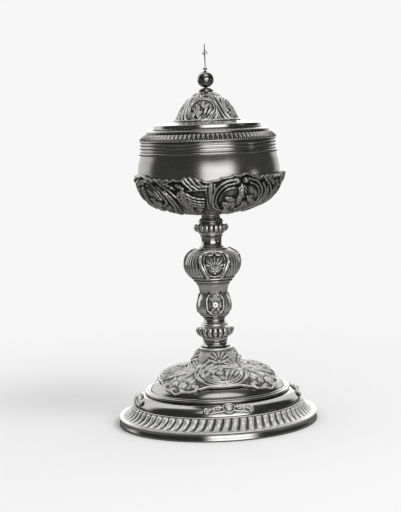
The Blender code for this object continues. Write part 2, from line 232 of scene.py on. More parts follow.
    def wheat(self, base, tip, seed, height):
        """An ear of wheat: pairs of grains along a stalk."""
        base, tip = np.array(base, float), np.array(tip, float)
        along = (tip - base) / np.hypot(*(tip - base))
        across = np.array([-along[1], along[0]])
        self.stroke([base, tip], seed * 0.3, height * 0.6)
        for k in range(5):
            root = base + (tip - base) * (0.45 + 0.11 * k)
            for side in (-1, 1):
                end = root + along * seed * 1.9 + across * side * seed
                self.stroke([root, end], (seed * 0.5, seed * 0.25), height)

    def fan(self, hinge, radius, spread, flutes, height):
        """A scallop shell opening upwards from its hinge, over a spread in degrees."""
        inside, u, v = self.window(np.subtract(hinge, radius * 1.1), np.add(hinge, radius * 1.1))
        away = np.hypot(u - hinge[0], v - hinge[1])
        angle = np.degrees(np.arctan2(v - hinge[1], u - hinge[0])) - 90
        angle = (angle + 180) % 360 - 180
        rib = np.cos(TAU * flutes * angle / spread)
        edge = radius * (1 + 0.09 * rib)
        shape = rounded((away / edge) ** 4) * (away / radius) ** 0.5
        field = height * shape * (0.55 + 0.45 * rib)
        self.raise_to(inside, np.where(np.abs(angle) < spread / 2, field, 0))

    def rosette(self, centre, radius, petals, height):
        """A small open flower with a round heart."""
        for k in range(petals):
            angle = TAU * k / petals + 0.3
            tip = (centre[0] + radius * math.cos(angle), centre[1] + radius * math.sin(angle))
            near = (centre[0] + radius * 0.55 * math.cos(angle), centre[1] + radius * 0.55 * math.sin(angle))
            self.bead(near, radius * 0.42, height)
            self.stroke([centre, tip], (radius * 0.25, radius * 0.12), height * 0.8)
        self.bead(centre, radius * 0.3, height * 1.35)

    def ovals(self, centre, half, steps, width, height):
        """Nested oval wires; steps are their distances from the first, outwards."""
        reach = np.add(half, max(steps) + width)
        inside, u, v = self.window(np.subtract(centre, reach), np.add(centre, reach))
        x, y = (u - centre[0]) / half[0], (v - centre[1]) / half[1]
        away = np.hypot(x, y)
        slope = np.hypot(x / half[0], y / half[1]) / np.maximum(away, 1e-6)
        distance = (away - 1) / np.maximum(slope, 1e-6)
        field = np.zeros_like(u)
        for step in steps:
            field = np.maximum(field, height * rounded(((distance - step) / width) ** 2))
        self.raise_to(inside, field)

    def pillow(self, centre, half, height):
        """A low boss under a cartouche, added to what is there."""
        x, y = (self.u - centre[0]) / half[0], (self.v - centre[1]) / half[1]
        self.ground += height * np.maximum(0, 1 - x ** 2 - y ** 2) ** 0.6

    def ring(self, at, width, height):
        """A wire right round the vessel at the distance at, which may vary by azimuth."""
        far = ((self.v - at) / width) ** 2
        np.maximum(self.height, height * rounded(far), out=self.height)

    def punched(self, low, high, pitch, depth):
        """Rows of small matting punches on the ground between two distances."""
        count = np.maximum(1, np.round(self.radius * self.sector / pitch))
        row = np.round(self.v / pitch)
        x = (self.turn / self.sector * count + 0.5 * (row % 2)) % 1.0 - 0.5
        y = self.v / pitch - row
        dot = np.maximum(0, 1 - (x ** 2 + y ** 2) / 0.16)
        bare = (self.v > low) & (self.v < high) & (self.height < 0.25)
        self.ground -= np.where(bare, depth * dot, 0)


def softened(field, reach):
    """The field blurred over reach points, wrapping round the vessel."""
    for _ in range(2):
        total = np.zeros_like(field)
        for shift in range(-reach, reach + 1):
            total += np.roll(field, shift, axis=1)
        field = total / (2 * reach + 1)
        padded = np.pad(field, ((reach, reach), (0, 0)), mode="edge")
        total = np.zeros_like(field)
        for shift in range(2 * reach + 1):
            total += padded[shift:shift + field.shape[0]]
        field = total / (2 * reach + 1)
    return field


def by_azimuth(stops):
    """A smooth function of the turn from a sector's centre, through (degrees, value) stops."""
    degrees, values = zip(*stops)

    def value(turn):
        at = np.degrees(turn)
        k = np.clip(np.searchsorted(degrees, at, side="right") - 1, 0, len(degrees) - 2)
        low, high = np.take(degrees, k), np.take(degrees, k + 1)
        t = np.clip((at - low) / (high - low), 0, 1)
        t = t * t * (3 - 2 * t)
        return np.take(values, k) * (1 - t) + np.take(values, k + 1) * t

    return value


# ------------------------------------------------------------------------------------ meshes
def mesh_from_grid(name, points, wear):
    """A closed skin over a (rows, around, 3) grid that wraps both ways, with its wear values."""
    rows, around = points.shape[:2]
    index = np.arange(rows * around).reshape(rows, around)
    above = np.roll(index, -1, axis=0)
    quads = np.stack([index, np.roll(index, -1, 1), np.roll(above, -1, 1), above], -1)
    return build_mesh(name, points.reshape(-1, 3), quads.reshape(-1, 4), wear.reshape(-1))


def build_mesh(name, vertices, quads, wear):
    """A mesh from vertices in millimetres; a quad whose last two corners agree is a triangle."""
    three = quads[:, 2] == quads[:, 3]
    sizes = np.where(three, 3, 4)
    loops = quads.reshape(-1)
    spare = np.tile([False, False, False, True], len(quads)) & np.repeat(three, 4)
    loops = loops[~spare]
    mesh = bpy.data.meshes.new(name)
    mesh.vertices.add(len(vertices))
    mesh.vertices.foreach_set("co", (np.asarray(vertices) * MM).astype(np.float32).reshape(-1))
    mesh.loops.add(len(loops))
    mesh.loops.foreach_set("vertex_index", loops.astype(np.int32))
    mesh.polygons.add(len(quads))
    starts = np.concatenate([[0], np.cumsum(sizes)[:-1]])
    mesh.polygons.foreach_set("loop_start", starts.astype(np.int32))
    mesh.update(calc_edges=True)
    mesh.validate()
    layer = mesh.attributes.new("wear", "FLOAT", "POINT")
    layer.data.foreach_set("value", np.asarray(wear).astype(np.float32))
    return mesh


def add_piece(mesh, finish, nodes, sharp=40, body="vessel"):
    """Show a mesh in place of its CAD nodes; finish is its material and a slot name, which is not used."""
    material, slot = finish
    mesh.shade_smooth()
    mesh.set_sharp_from_angle(angle=math.radians(sharp))
    mesh.materials.append(material)
    piece = bpy.data.objects.new(mesh.name, mesh)
    bpy.context.scene.collection.objects.link(piece)
    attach(piece, body)
    if nodes:
        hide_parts(*nodes)


def surface_at(path, v):
    """Radius and height at the distances v along a path, and the two parts of its normal there."""
    length = lengths_of(path)
    columns = np.hstack([path, normals_of(path)]).T
    return [np.interp(v, length, column) for column in columns]


def turned(radius, height, azimuth):
    azimuth = np.broadcast_to(azimuth, radius.shape)
    return np.stack([radius * np.sin(azimuth), -radius * np.cos(azimuth), height], -1)


def wear_of(raised):
    """How far each point stands above its surroundings: +1 on a crest, -1 in a hollow."""
    return np.clip((raised - softened(raised, 4)) / FULL_WEAR, -1, 1)


def revolve(name, path, thickness, around, relief=None, folds=1, middle=0.0, start=None, stop=None):
    """A sheet turned about Z: its outside carries the relief, its inside is plain.

    relief(sheet) draws on one of the folds equal sectors, whose centre is at the azimuth middle;
    start and stop give the distance along the path where the sheet begins and ends, by turn.
    A thickness of None makes a solid that closes on the axis.
    """
    per_sector = around // folds
    whole = lengths_of(path)[-1]
    turn = (np.arange(per_sector) - per_sector // 2) * TAU / (per_sector * folds)
    first = start(turn) if start else np.zeros(per_sector)
    last = stop(turn) if stop else np.full(per_sector, whole)
    share = (lengths_of(path) / whole)[:, None]
    v = first + share * (last - first)
    radius, height, out, up = surface_at(path, v)
    raised = np.zeros_like(v)
    if relief:
        sheet = Sheet(turn + 0 * v, radius, v, TAU / folds, first, last)
        relief(sheet)
        raised = sheet.total()
    azimuth = math.radians(middle) + np.concatenate([turn + TAU * k / folds for k in range(folds)])
    raised, radius, height, out, up = (np.tile(a, (1, folds)) for a in (raised, radius, height, out, up))
    wear = wear_of(raised) if relief else np.zeros_like(raised)
    outer = turned(radius + raised * out, height + raised * up, azimuth)
    if thickness is None:
        return close_on_axis(name, outer, wear)
    keep = inner_rows(len(path))
    inner = turned((radius - thickness * out)[keep], (height - thickness * up)[keep], azimuth)[::-1]
    shade = np.concatenate([wear, np.zeros((len(keep), len(azimuth)))])
    return mesh_from_grid(name, np.concatenate([outer, inner]), shade)


def inner_rows(count, stride=4):
    """Which rows of the outside the plain inside repeats."""
    keep = list(range(0, count, stride))
    if keep[-1] != count - 1:
        keep.append(count - 1)
    return keep


def close_on_axis(name, outer, wear):
    """A solid whose first and last rows lie close to the axis: each gets one point on it."""
    rows, around = outer.shape[:2]
    index = np.arange(rows * around).reshape(rows, around)
    beside = np.roll(index, -1, 1)
    quads = np.stack([index[:-1], beside[:-1], beside[1:], index[1:]], -1).reshape(-1, 4)
    low_tip, high_tip = (np.full(around, rows * around + k) for k in (0, 1))
    caps = [np.stack([beside[0], index[0], low_tip, low_tip], -1),
            np.stack([index[-1], beside[-1], high_tip, high_tip], -1)]
    tips = [(0, 0, outer[0, 0, 2]), (0, 0, outer[-1, 0, 2])]
    vertices = np.concatenate([outer.reshape(-1, 3), tips])
    shade = np.concatenate([wear.reshape(-1), [0, 0]])
    return build_mesh(name, vertices, np.concatenate([quads] + caps), shade)


def patch(name, path, low, high, half_turn, gap, rise, relief, columns=120, rows=60, middle=0.0):
    """A raised plaque lying on a turned surface, between two borders given by turn."""
    turn = np.linspace(-half_turn, half_turn, columns)
    first, last = low(turn), high(turn)
    share = np.linspace(0, 1, rows)[:, None]
    v = first + share * (last - first)
    radius, height, out, up = surface_at(path, v)
    sheet = Sheet(turn + 0 * v, radius, v, TAU, first, last)
    relief(sheet)
    wear = wear_of(sheet.total())
    side = np.minimum(share, 1 - share) * (last - first)
    end = (half_turn - np.abs(turn)) * radius
    shoulder = np.clip(np.minimum(side, end) / 0.5, 0, 1)
    raised = gap + rise * np.sqrt(1 - (1 - shoulder) ** 2) + sheet.total() * shoulder
    azimuth = turn + math.radians(middle)
    top = turned(radius + raised * out, height + raised * up, azimuth)
    base = turned(radius + gap * 0.9 * out, height + gap * 0.9 * up, azimuth)
    points = np.concatenate([top.reshape(-1, 3), base.reshape(-1, 3)])
    index = np.arange(rows * columns).reshape(rows, columns)
    below = index + rows * columns
    faces = [strip(index[:-1, :-1], index[:-1, 1:], index[1:, 1:], index[1:, :-1]),
             strip(below[:-1, :-1], below[1:, :-1], below[1:, 1:], below[:-1, 1:]),
             strip(below[0, :-1], below[0, 1:], index[0, 1:], index[0, :-1]),
             strip(index[-1, :-1], index[-1, 1:], below[-1, 1:], below[-1, :-1]),
             strip(index[:-1, 0], index[1:, 0], below[1:, 0], below[:-1, 0]),
             strip(below[:-1, -1], below[1:, -1], index[1:, -1], index[:-1, -1])]
    return build_mesh(name, points, np.concatenate(faces), np.concatenate([wear.reshape(-1)] * 2))


def strip(a, b, c, d):
    return np.stack([a.reshape(-1), b.reshape(-1), c.reshape(-1), d.reshape(-1)], -1)


# ------------------------------------------------------------------------------------ materials
def feed(tree, socket, value):
    """Link a socket to another one, or give it a number or a colour."""
    if isinstance(value, bpy.types.NodeSocket):
        tree.links.new(value, socket)
    else:
        socket.default_value = value


def node(tree, kind, **values):
    """A node with its named inputs fed and its other properties set."""
    made = tree.nodes.new(kind)
    for key, value in values.items():
        if key in made.inputs:
            feed(tree, made.inputs[key], value)
        else:
            setattr(made, key, value)
    return made


def ramp(tree, stops, value):
    """A colour ramp over value; stops are (position, grey or colour)."""
    made = tree.nodes.new("ShaderNodeValToRGB")
    band = made.color_ramp
    while len(band.elements) < len(stops):
        band.elements.new(0.5)
    for element, (position, colour) in zip(band.elements, stops):
        element.position = position
        element.color = (*colour, 1) if isinstance(colour, tuple) else (colour, colour, colour, 1)
    tree.links.new(value, made.inputs["Fac"])
    return made.outputs["Color"]


def noise(tree, coordinates, scale, detail, roughness):
    made = node(tree, "ShaderNodeTexNoise", Scale=scale, Detail=detail, Roughness=roughness,
        Vector=coordinates)
    return made.outputs["Fac"]


def mixed(tree, kind, a, b, factor):
    """Mix two colours (sockets or tuples) with a blend kind; the factor is a socket or a number."""
    made = node(tree, "ShaderNodeMix", data_type="RGBA", blend_type=kind)
    for place, value in ((6, a), (7, b), (0, factor)):
        feed(tree, made.inputs[place], value)
    return made.outputs[2]


def silver(name, bright, dull, tarnish, smooth, rough, scratch=0.02, matting=0.0, frost=0.0):
    """Old silver: bright on the crests, tarnished in the hollows, clouded and finely scratched.

    frost is the share of light that a matted surface scatters instead of mirroring.
    """
    made = bpy.data.materials.new(name)
    made.use_nodes = True
    tree = made.node_tree
    shader = tree.nodes["Principled BSDF"]
    shader.inputs["Metallic"].default_value = 1.0 - frost
    place = tree.nodes.new("ShaderNodeTexCoord").outputs["Object"]
    wear = node(tree, "ShaderNodeAttribute", attribute_name="wear").outputs["Fac"]
    cloud = noise(tree, place, 38.0, 4.0, 0.6)
    crest = node(tree, "ShaderNodeMapRange", Value=wear, **{"From Min": -1.0, "From Max": 1.0})
    relief_tone = ramp(tree, [(0.0, tarnish), (0.34, dull), (0.52, bright), (1.0, bright)], crest.outputs[0])
    clouding = ramp(tree, [(0.3, 0.72), (0.62, 1.0)], cloud)
    colour = mixed(tree, "MULTIPLY", relief_tone, clouding, 0.55)
    tree.links.new(colour, shader.inputs["Base Color"])
    fine = noise(tree, place, 420.0, 5.0, 0.65)
    gloss = mixed(tree, "MIX", ramp(tree, [(0.35, smooth), (0.7, rough)], cloud), ramp(tree, [(0.3, smooth),
        (0.75, rough * 1.3)], fine), 0.4)
    tree.links.new(gloss, shader.inputs["Roughness"])
    stretched = node(tree, "ShaderNodeMapping", Scale=(1.0, 1.0, 9.0), Vector=place)
    scratches = noise(tree, stretched.outputs[0], 260.0, 6.0, 0.7)
    bump = node(tree, "ShaderNodeBump", Strength=1.0, Distance=scratch * MM, Height=scratches)
    if matting:
        stipple = node(tree, "ShaderNodeTexVoronoi", Scale=1500.0, Vector=place).outputs["Distance"]
        bump = node(tree, "ShaderNodeBump", Strength=1.0, Distance=matting * MM, Height=stipple,
            Normal=bump.outputs["Normal"])
    tree.links.new(bump.outputs["Normal"], shader.inputs["Normal"])
    return made


# Each finish is a material and a slot name that nothing here uses. A material takes its bright and dull
# colours, its tarnish, its smoothest and roughest gloss, the depth of scratches and of matting in
# millimetres, and its frost.
POLISHED = (silver("old_polished_silver", (0.68, 0.675, 0.66), (0.46, 0.455, 0.44),
    0.18, 0.10, 0.20), "polished_silver")
DULLED = (silver("dulled_silver", (0.54, 0.535, 0.52), (0.42, 0.415, 0.405),
    0.16, 0.16, 0.26, 0.03, 0.0, 0.05), "polished_silver")
DARKENED = (silver("darkened_silver", (0.50, 0.495, 0.48), (0.34, 0.335, 0.325),
    0.10, 0.11, 0.20), "polished_silver")
CHASED = (silver("chased_tarnished_silver", (0.70, 0.695, 0.68), (0.27, 0.265, 0.26),
    0.06, 0.15, 0.32, 0.03, 0.04, 0.08), "chased_silver")
FROSTED = (silver("frosted_chased_silver", (0.90, 0.895, 0.88), (0.64, 0.635, 0.62),
    0.20, 0.20, 0.36, 0.03, 0.04, 0.36), "chased_silver")
CAST = (silver("cast_silver", (0.90, 0.895, 0.88), (0.52, 0.515, 0.50),
    0.13, 0.14, 0.26, 0.01, 0.0, 0.12), "cast_silver")
PLAQUE = (silver("cast_plaque_silver", (0.90, 0.895, 0.88), (0.56, 0.555, 0.54),
    0.10, 0.14, 0.28, 0.02, 0.0, 0.30), "cast_silver")
LID_CHASED = (silver("chased_lid_silver", (0.86, 0.855, 0.84), (0.48, 0.475, 0.46),
    0.08, 0.18, 0.34, 0.03, 0.04, 0.22), "chased_silver")
GILT = (silver("fire_gilt", (0.80, 0.58, 0.24), (0.62, 0.42, 0.15),
    (0.25, 0.15, 0.05), 0.16, 0.32), "silver_gilt")
STEEL = silver("rod_steel", (0.42, 0.42, 0.43), (0.28, 0.28, 0.28), 0.08, 0.28, 0.45)


# ------------------------------------------------------------------------------------ foot
# outlines are (radius, height) from the outer or lower end on
FRONT = 7.0                  # azimuth of the front plaque and cartouche, in degrees
TORUS = [(68.4, 17.1), (67.8, 19.6), (65.8, 22.3), (62.8, 24.2), (60.4, 25)]
DOME = [(54.9, 25.3), (54.3, 28.6), (52, 32), (48, 35), (41, 38), (32, 40), (24, 40.6)]


def ring_of(name, outline, around, nodes, finish=POLISHED, body="vessel"):
    """A closed outline turned about Z, without relief."""
    outline = np.array(outline, float)
    grid = np.broadcast_to(outline[:, None, :], (len(outline), around, 2))
    azimuth = np.arange(around) * TAU / around
    points = turned(grid[..., 0], grid[..., 1], azimuth)
    add_piece(mesh_from_grid(name, points, np.zeros(points.shape[:2])), finish, nodes, body=body)


def plain(name, points, thickness, around, nodes, spacing=0.3, finish=POLISHED, body="vessel"):
    """A sheet without relief, turned about Z through a few points."""
    add_piece(revolve(name, spline(points, spacing), thickness, around), finish, nodes, body=body)


def rim_band():
    outline = chain([(76, 0), (81.6, 0)], arc((81.6, 0.4), 0.4, -90, 0, 4), [(81.9, 1.4), (81.6, 2.6),
        (81.2, 3.8)], arc((80.4, 4.9), 1, 45, 90, 5), [(79, 5.9), (79, 4.9), (80.2, 4.8), (80.6, 1.2), (76,
        1.2)])
    ring_of("rim_band", outline, 360, ["foot_rim_band"])


def gadroon_flange():
    """Flat edge and fluted hollow: leaning lobes with rounded heads under the torus."""
    lobes, columns = 68, 14
    hollow = [(80, 7.1), (76.4, 7.8), (73.2, 9.4), (71, 11.6), (69.7, 14.2), (69.2, 16.8)]
    path = chain(spline([(81.8, 6.2), (81.8, 7)], 0.4), spline([(81.6, 7.2), (80.2, 7.2)], 0.5),
        spline(hollow, 0.38))

    def relief(sheet):
        top = sheet.last[0]
        foot, head = 4.6, top - 1.4
        along = np.clip((sheet.v - foot) / (head - foot), 0, 1)
        lean = 0.5 * TAU / lobes * (1 - along) ** 1.6
        x = sheet.across(lobes, lean)
        half = 0.55 + 0.4 * along ** 0.7
        body = np.maximum(0, 1 - (x / half) ** 2) ** 0.8
        tip = np.clip((head - sheet.v) / 1.5, 0, 1) ** 0.5
        sheet.ground += 1.9 * along ** 0.6 * tip * body
        gutter = np.clip(1 - np.abs(np.abs(x) - 1) / 0.22, 0, 1)
        sheet.ground -= 0.35 * gutter * along * (sheet.v < head)
        sheet.ring(top - 0.7, 0.5, 0.5)

    mesh = revolve("gadroon_flange", path, 1, lobes * columns, relief)
    add_piece(mesh, FROSTED, ["foot_gadroon_flange"], 70)


def torus():
    path = chain(spline(TORUS, 0.5), spline([(60.4, 25), (54.4, 25)], 1))
    mesh = revolve("torus", path, 1, 320)
    add_piece(mesh, POLISHED, ["foot_torus"])


def reeded_ring():
    outline = chain([(59.2, 25.3)], arc((58.9, 26.6), 1.3, -60, 100, 12), arc((56.9, 27.5), 1.3, 20, 150,
        10), [(55.2, 27.9), (55.2, 25.3)])
    ring_of("reeded_ring", outline, 320, ["foot_reeded_ring"])


def foot_dome():
    path = chain(spline(DOME, 0.6), spline([(24, 40.6), (3.3, 40.6)], 1.5))
    mesh = revolve("foot_dome", path, 1, 256)
    add_piece(mesh, POLISHED, ["foot_dome"])


def plaque_relief(sheet):
    """Leaf scrolls on both sides of an oval stone."""
    sheet.ovals((0, 6.4), (4.4, 3.8), (0,), 0.6, 1.2)
    sheet.bead((0, 6.4), 3.2, 2.2, 0.85)
    for side in (-1, 1):
        sheet.acanthus([(side * 5.4, 7), (side * 10, 7), (side * 14, 5.4), (side * 17, 5)], 2.6, 0.9, 4)
        sheet.volute((side * 17.3, 3.8), 2.2, 90, -side * 1.1, 0.8, 1.2)
        sheet.line([(side * 3.5, 4), (side * 9, 3.2), (side * 15.5, 2.2)], (0.7, 0.5), 0.7)


def plaques():
    low = by_azimuth([(-18, 2.2), (-14, 1.4), (-5, 1.2), (5, 1.2), (14, 1.4), (18, 2.2)])
    high = by_azimuth([(-18, 6), (-15, 7.6), (-10, 7.2), (-5, 10.6), (0, 11.2), (5, 10.6), (10, 7.2), (15,
        7.6), (18, 6)])
    for k, side in enumerate(("front", "right", "back", "left")):
        mesh = patch("plaque_" + side, spline(TORUS, 0.3), low, high, math.radians(17.5), 0.3, 0.6,
            plaque_relief, middle=FRONT + 90 * k)
        add_piece(mesh, PLAQUE, ["foot_plaque_" + side], 60)


# how far up its path the bell's skirt begins, by degrees from the middle of a cartouche
SKIRT_EDGE = by_azimuth([(-45, 0.3), (-38, 2.6), (-31, 3.4), (-25, 6.6), (-15, 9.2), (0, 9), (15, 9.2), (25,
    6.6), (31, 3.4), (38, 2.6), (45, 0.3)])


def shoulder_relief(sheet):
    """Four shell-topped oval cartouches on the bell, with leaf and flower panels between them."""
    sheet.pillow((0, 27), (17, 14), 0.8)
    sheet.ovals((0, 26), (17.6, 14.2), (0, -2.2), 0.75, 1.1)
    sheet.ring(sheet.first + 1, 0.8, 0.9)
    sheet.fan((0, 44.6), 8.6, 250, 9, 1.5)
    sheet.bead((0, 44.4), 1.9, 2.4)
    sheet.line([(0, 42.6), (-0.2, 39), (-0.4, 35.6)], (0.8, 2.1), (1.2, 1.9))
    sheet.bead((-0.4, 33.8), 2.6, 2.1)
    sheet.leaf((-2.4, 37.4), (-9.8, 38.2), 1.8, 1.2, 5)
    sheet.line([(-2, 43.6), (-7.4, 45), (-12.4, 41.6), (-16.4, 36), (-18.4, 30)], (1, 0.7), (1.5, 1))
    sheet.line([(-6, 41), (-10.4, 39.6), (-13.6, 34.6), (-15, 29.4)], (0.8, 0.5), (1.3, 0.8))
    sheet.line([(-6.4, 38), (-9.6, 36), (-11.6, 31.8)], (0.7, 0.4), (1.1, 0.7))
    sheet.line([(2, 43.6), (7, 44.8), (10.6, 42.4)], (1, 0.7), (1.5, 1))
    for k in range(6):
        root = (6.4 + 1.1 * k, 40.6 - 2.2 * k)
        sheet.line([root, (root[0] + 3, root[1] + 0.6), (root[0] + 5.6, root[1] - 1)], (0.8, 0.35), (1.3,
            0.8))
    sheet.grapes((-7.2, 32.2), 1.2, 4, 1.5)
    sheet.leaf((-10, 28), (-14.8, 21.6), 1.9, 1.1, 5)
    sheet.leaf((-8.4, 22.6), (-2.4, 14.6), 2.2, 1.1, 5)
    sheet.rosette((-2, 26), 2.8, 6, 1.4)
    for root, tip in (((1.4, 15.4), (5.4, 30)), ((3.6, 15.8), (9.8, 29)), ((6.2, 16.6), (13.6, 25.8))):
        sheet.wheat(root, tip, 1.2, 1.3)
    sheet.leaf((-4.4, 17.4), (-11.6, 17), 1.4, 1, 5)
    sheet.pair([(3, 10.8), (11, 11.6), (18.4, 15.2), (22.2, 20.6), (22, 27)], (0.6, 0.9), 1.1)
    between = sheet.about(45)
    between.pillow((0, 14), (14, 12), 0.6)
    between.acanthus([(0, 36), (-0.6, 29), (0.4, 22), (-0.6, 15)], 3.2, 1.1, 8)
    between.rosette((3, 9.6), 3.6, 6, 1.2)
    between.rosette((-4.8, 11), 2.6, 6, 1)
    between.pair([(3.4, 35), (6.4, 30), (8.6, 24), (13.4, 18.6), (18.5, 15)], (0.7, 1), 1.2)
    between.pair([(5.2, 35), (8.4, 30.4), (11, 25.4), (15.6, 21.2)], (0.45, 0.6), 0.9)
    between.line([(-7, 5.4), (-11, 4), (-15, 6), (-15.6, 9.6)], (0.6, 0.9), 1.2)
    between.volute((-13.6, 9), 2.1, 0, 1.3, 0.65, 1.2)
    between.line([(7.5, 4.6), (12, 3.6), (16, 6.2), (16.2, 10)], (0.6, 0.9), 1.2)
    between.volute((14.2, 9.2), 2.1, 180, -1.3, 0.65, 1.2)
    between.leaf((2, 5.8), (9.4, 3.2), 1.5, 0.9, 5)
    between.leaf((-2, 6.4), (-8.8, 4), 1.5, 0.9, 5)
    between.leaf((7.2, 12.6), (10.6, 17.6), 1.5, 0.9)
    between.leaf((-7.6, 13.4), (-10.8, 18.4), 1.5, 0.9)
    sheet.ring(sheet.last - 1.2, 0.9, 0.8)
    sheet.punched(9, 54, 1.15, 0.16)


def shoulder():
    path = spline([(55.9, 30.2), (54.6, 32), (49.4, 36.6), (45.4, 39.9), (40.6, 42.3), (33, 44.9), (25.6,
        46.4), (20.4, 49), (18.6, 52.8), (16.2, 57.2), (12.8, 62)], 0.46)
    mesh = revolve("foot_bell", path, 1.1, 640, shoulder_relief, 4, FRONT, start=SKIRT_EDGE)
    add_piece(mesh, FROSTED, ["foot_shoulder"], 75)


# ------------------------------------------------------------------------------------ stem
def knop(name, points, lobes, depth, low, high, nodes):
    """A small gadrooned knop between two plain collars."""

    def relief(sheet):
        share = np.clip((sheet.v - low) / (high - low), 0, 1)
        fade = np.clip(np.minimum(share, 1 - share) * 6, 0, 1) ** 0.5
        x = sheet.across(lobes)
        sheet.ground += depth * fade * (np.maximum(0, 1 - x ** 2) ** 0.75 - 0.4)

    mesh = revolve(name, spline(points, 0.25), 1.4, lobes * 14, relief)
    add_piece(mesh, CAST, nodes, 70)


def baluster_relief(sheet):
    """Three framed panels with shells and grapes, and fluted lobes between them."""
    top = np.clip((sheet.v - 34.5) / 4, 0, 1) * np.clip((63.0 - sheet.v) / 6, 0, 1)
    away = np.abs(np.degrees(sheet.turn))
    lobe = np.clip((away - 29) / 3, 0, 1)
    flute = np.maximum(0, 1 - sheet.across(45) ** 2) ** 0.7
    sheet.ground += top * lobe * (0.5 * flute + 0.5 * np.sin(np.clip((away - 27) / 66, 0, 1) * math.pi))
    low = np.clip((sheet.v - 2.4) / 3, 0, 1) * np.clip((20.0 - sheet.v) / 5, 0, 1)
    sheet.ground += 0.9 * low * rounded(((away - 60) / 27) ** 2)
    sheet.ground += 0.4 * low * np.clip((24 - away) / 3, 0, 1)
    sheet.pillow((0, 49), (9.4, 11), 1)
    sheet.pair([(5.4, 36.2), (7, 40), (9.8, 45), (11.3, 50), (10.6, 55), (7.2, 59.4), (0, 61.4)],
               1.6, 1.7)
    sheet.pair([(4.2, 39.2), (6.4, 43), (8.2, 47), (8.8, 51), (7.8, 55.6), (4.8, 58), (0, 58.6)], 0.5, 0.8)
    sheet.fan((0, 46.6), 7.8, 210, 8, 0.9)
    sheet.grapes((0, 46.6), 1.05, 4, 1.4)
    sheet.line([(-4.6, 38.6), (0, 37.6), (4.6, 38.6)], 0.6, 1)
    sheet.pair([(4.8, 19.4), (6.6, 15.6), (7, 11), (6, 6.6), (2.8, 4)], 0.8, 1.3)
    sheet.rosette((0, 11.4), 3.3, 6, 0.6)
    sheet.leaf((0, 15), (0, 20.6), 2.6, 0.7)
    for side in (-1, 1):
        sheet.leaf((side * 0.6, 57.6), (side * 5.6, 56), 1.5, 1.1)
        sheet.leaf((side * 1, 42.8), (side * 4.6, 44.6), 1.2, 1)
        sheet.leaf((side * 1.4, 14.6), (side * 4.6, 17.4), 1.3, 0.6)
        sheet.leaf((side * 1.4, 8.6), (side * 4, 5.6), 1.2, 0.6)
    for at, width, height in ((34.4, 0.7, 0.8), (31.6, 0.7, 0.7), (1.3, 0.6, 0.6), (3, 0.5, 0.4), (64.4,
            1.1, 0.9)):
        sheet.ring(at, width, height)


def baluster():
    path = spline([(10.2, 87.4), (12.2, 90), (13.5, 94.6), (12.9, 99.6), (11.4, 106), (12.6, 112.4), (17.2,
        119.6), (21, 125), (22.2, 130), (21, 135.8), (17.4, 140.6), (13, 143.2), (10, 144)], 0.42)
    mesh = revolve("baluster_knop", path, 1.5, 495, baluster_relief, 3, 4)
    add_piece(mesh, CAST, ["baluster"], 75)


# ------------------------------------------------------------------------------------ cup
CALYX = [(8, 171.8), (20, 172.6), (30, 174.4), (38, 177.4), (45.6, 181), (51.6, 185.4), (56, 190.4),
         (58.4, 195.6), (60, 200.4), (60.5, 203.4), (61, 206.6)]
# how far along its path the calyx ends, by degrees, and the leaf tips above that: (degrees, rise)
CREST_LINE = by_azimuth([(-45, 66.6), (-38, 67), (-31, 65.8), (-26, 64.6), (-20, 65.8), (-10, 68), (0,
    69.4), (6, 69.8), (11, 67.6), (17, 66.2), (26, 66.6), (36, 65.8), (45, 66.6)])
CREST_TIPS = [(-43, 1.9), (-39.2, 2), (-35.2, 1.8), (-31.2, 1.2), (-15, 0.7), (-5.5, 0.9), (3.5, 0.8),
    (13.5, 1), (19.5, 1.3), (25.5, 1.2), (31.5, 1.2), (37.5, 1.4)]


def crest(turn):
    """Where the calyx ends: a scrolled line with the tips of leaves standing over it."""
    edge = CREST_LINE(turn)
    for centre, rise in CREST_TIPS:
        edge = edge + rise * np.exp(-((np.degrees(turn) - centre) / 1.5) ** 2)
    return edge


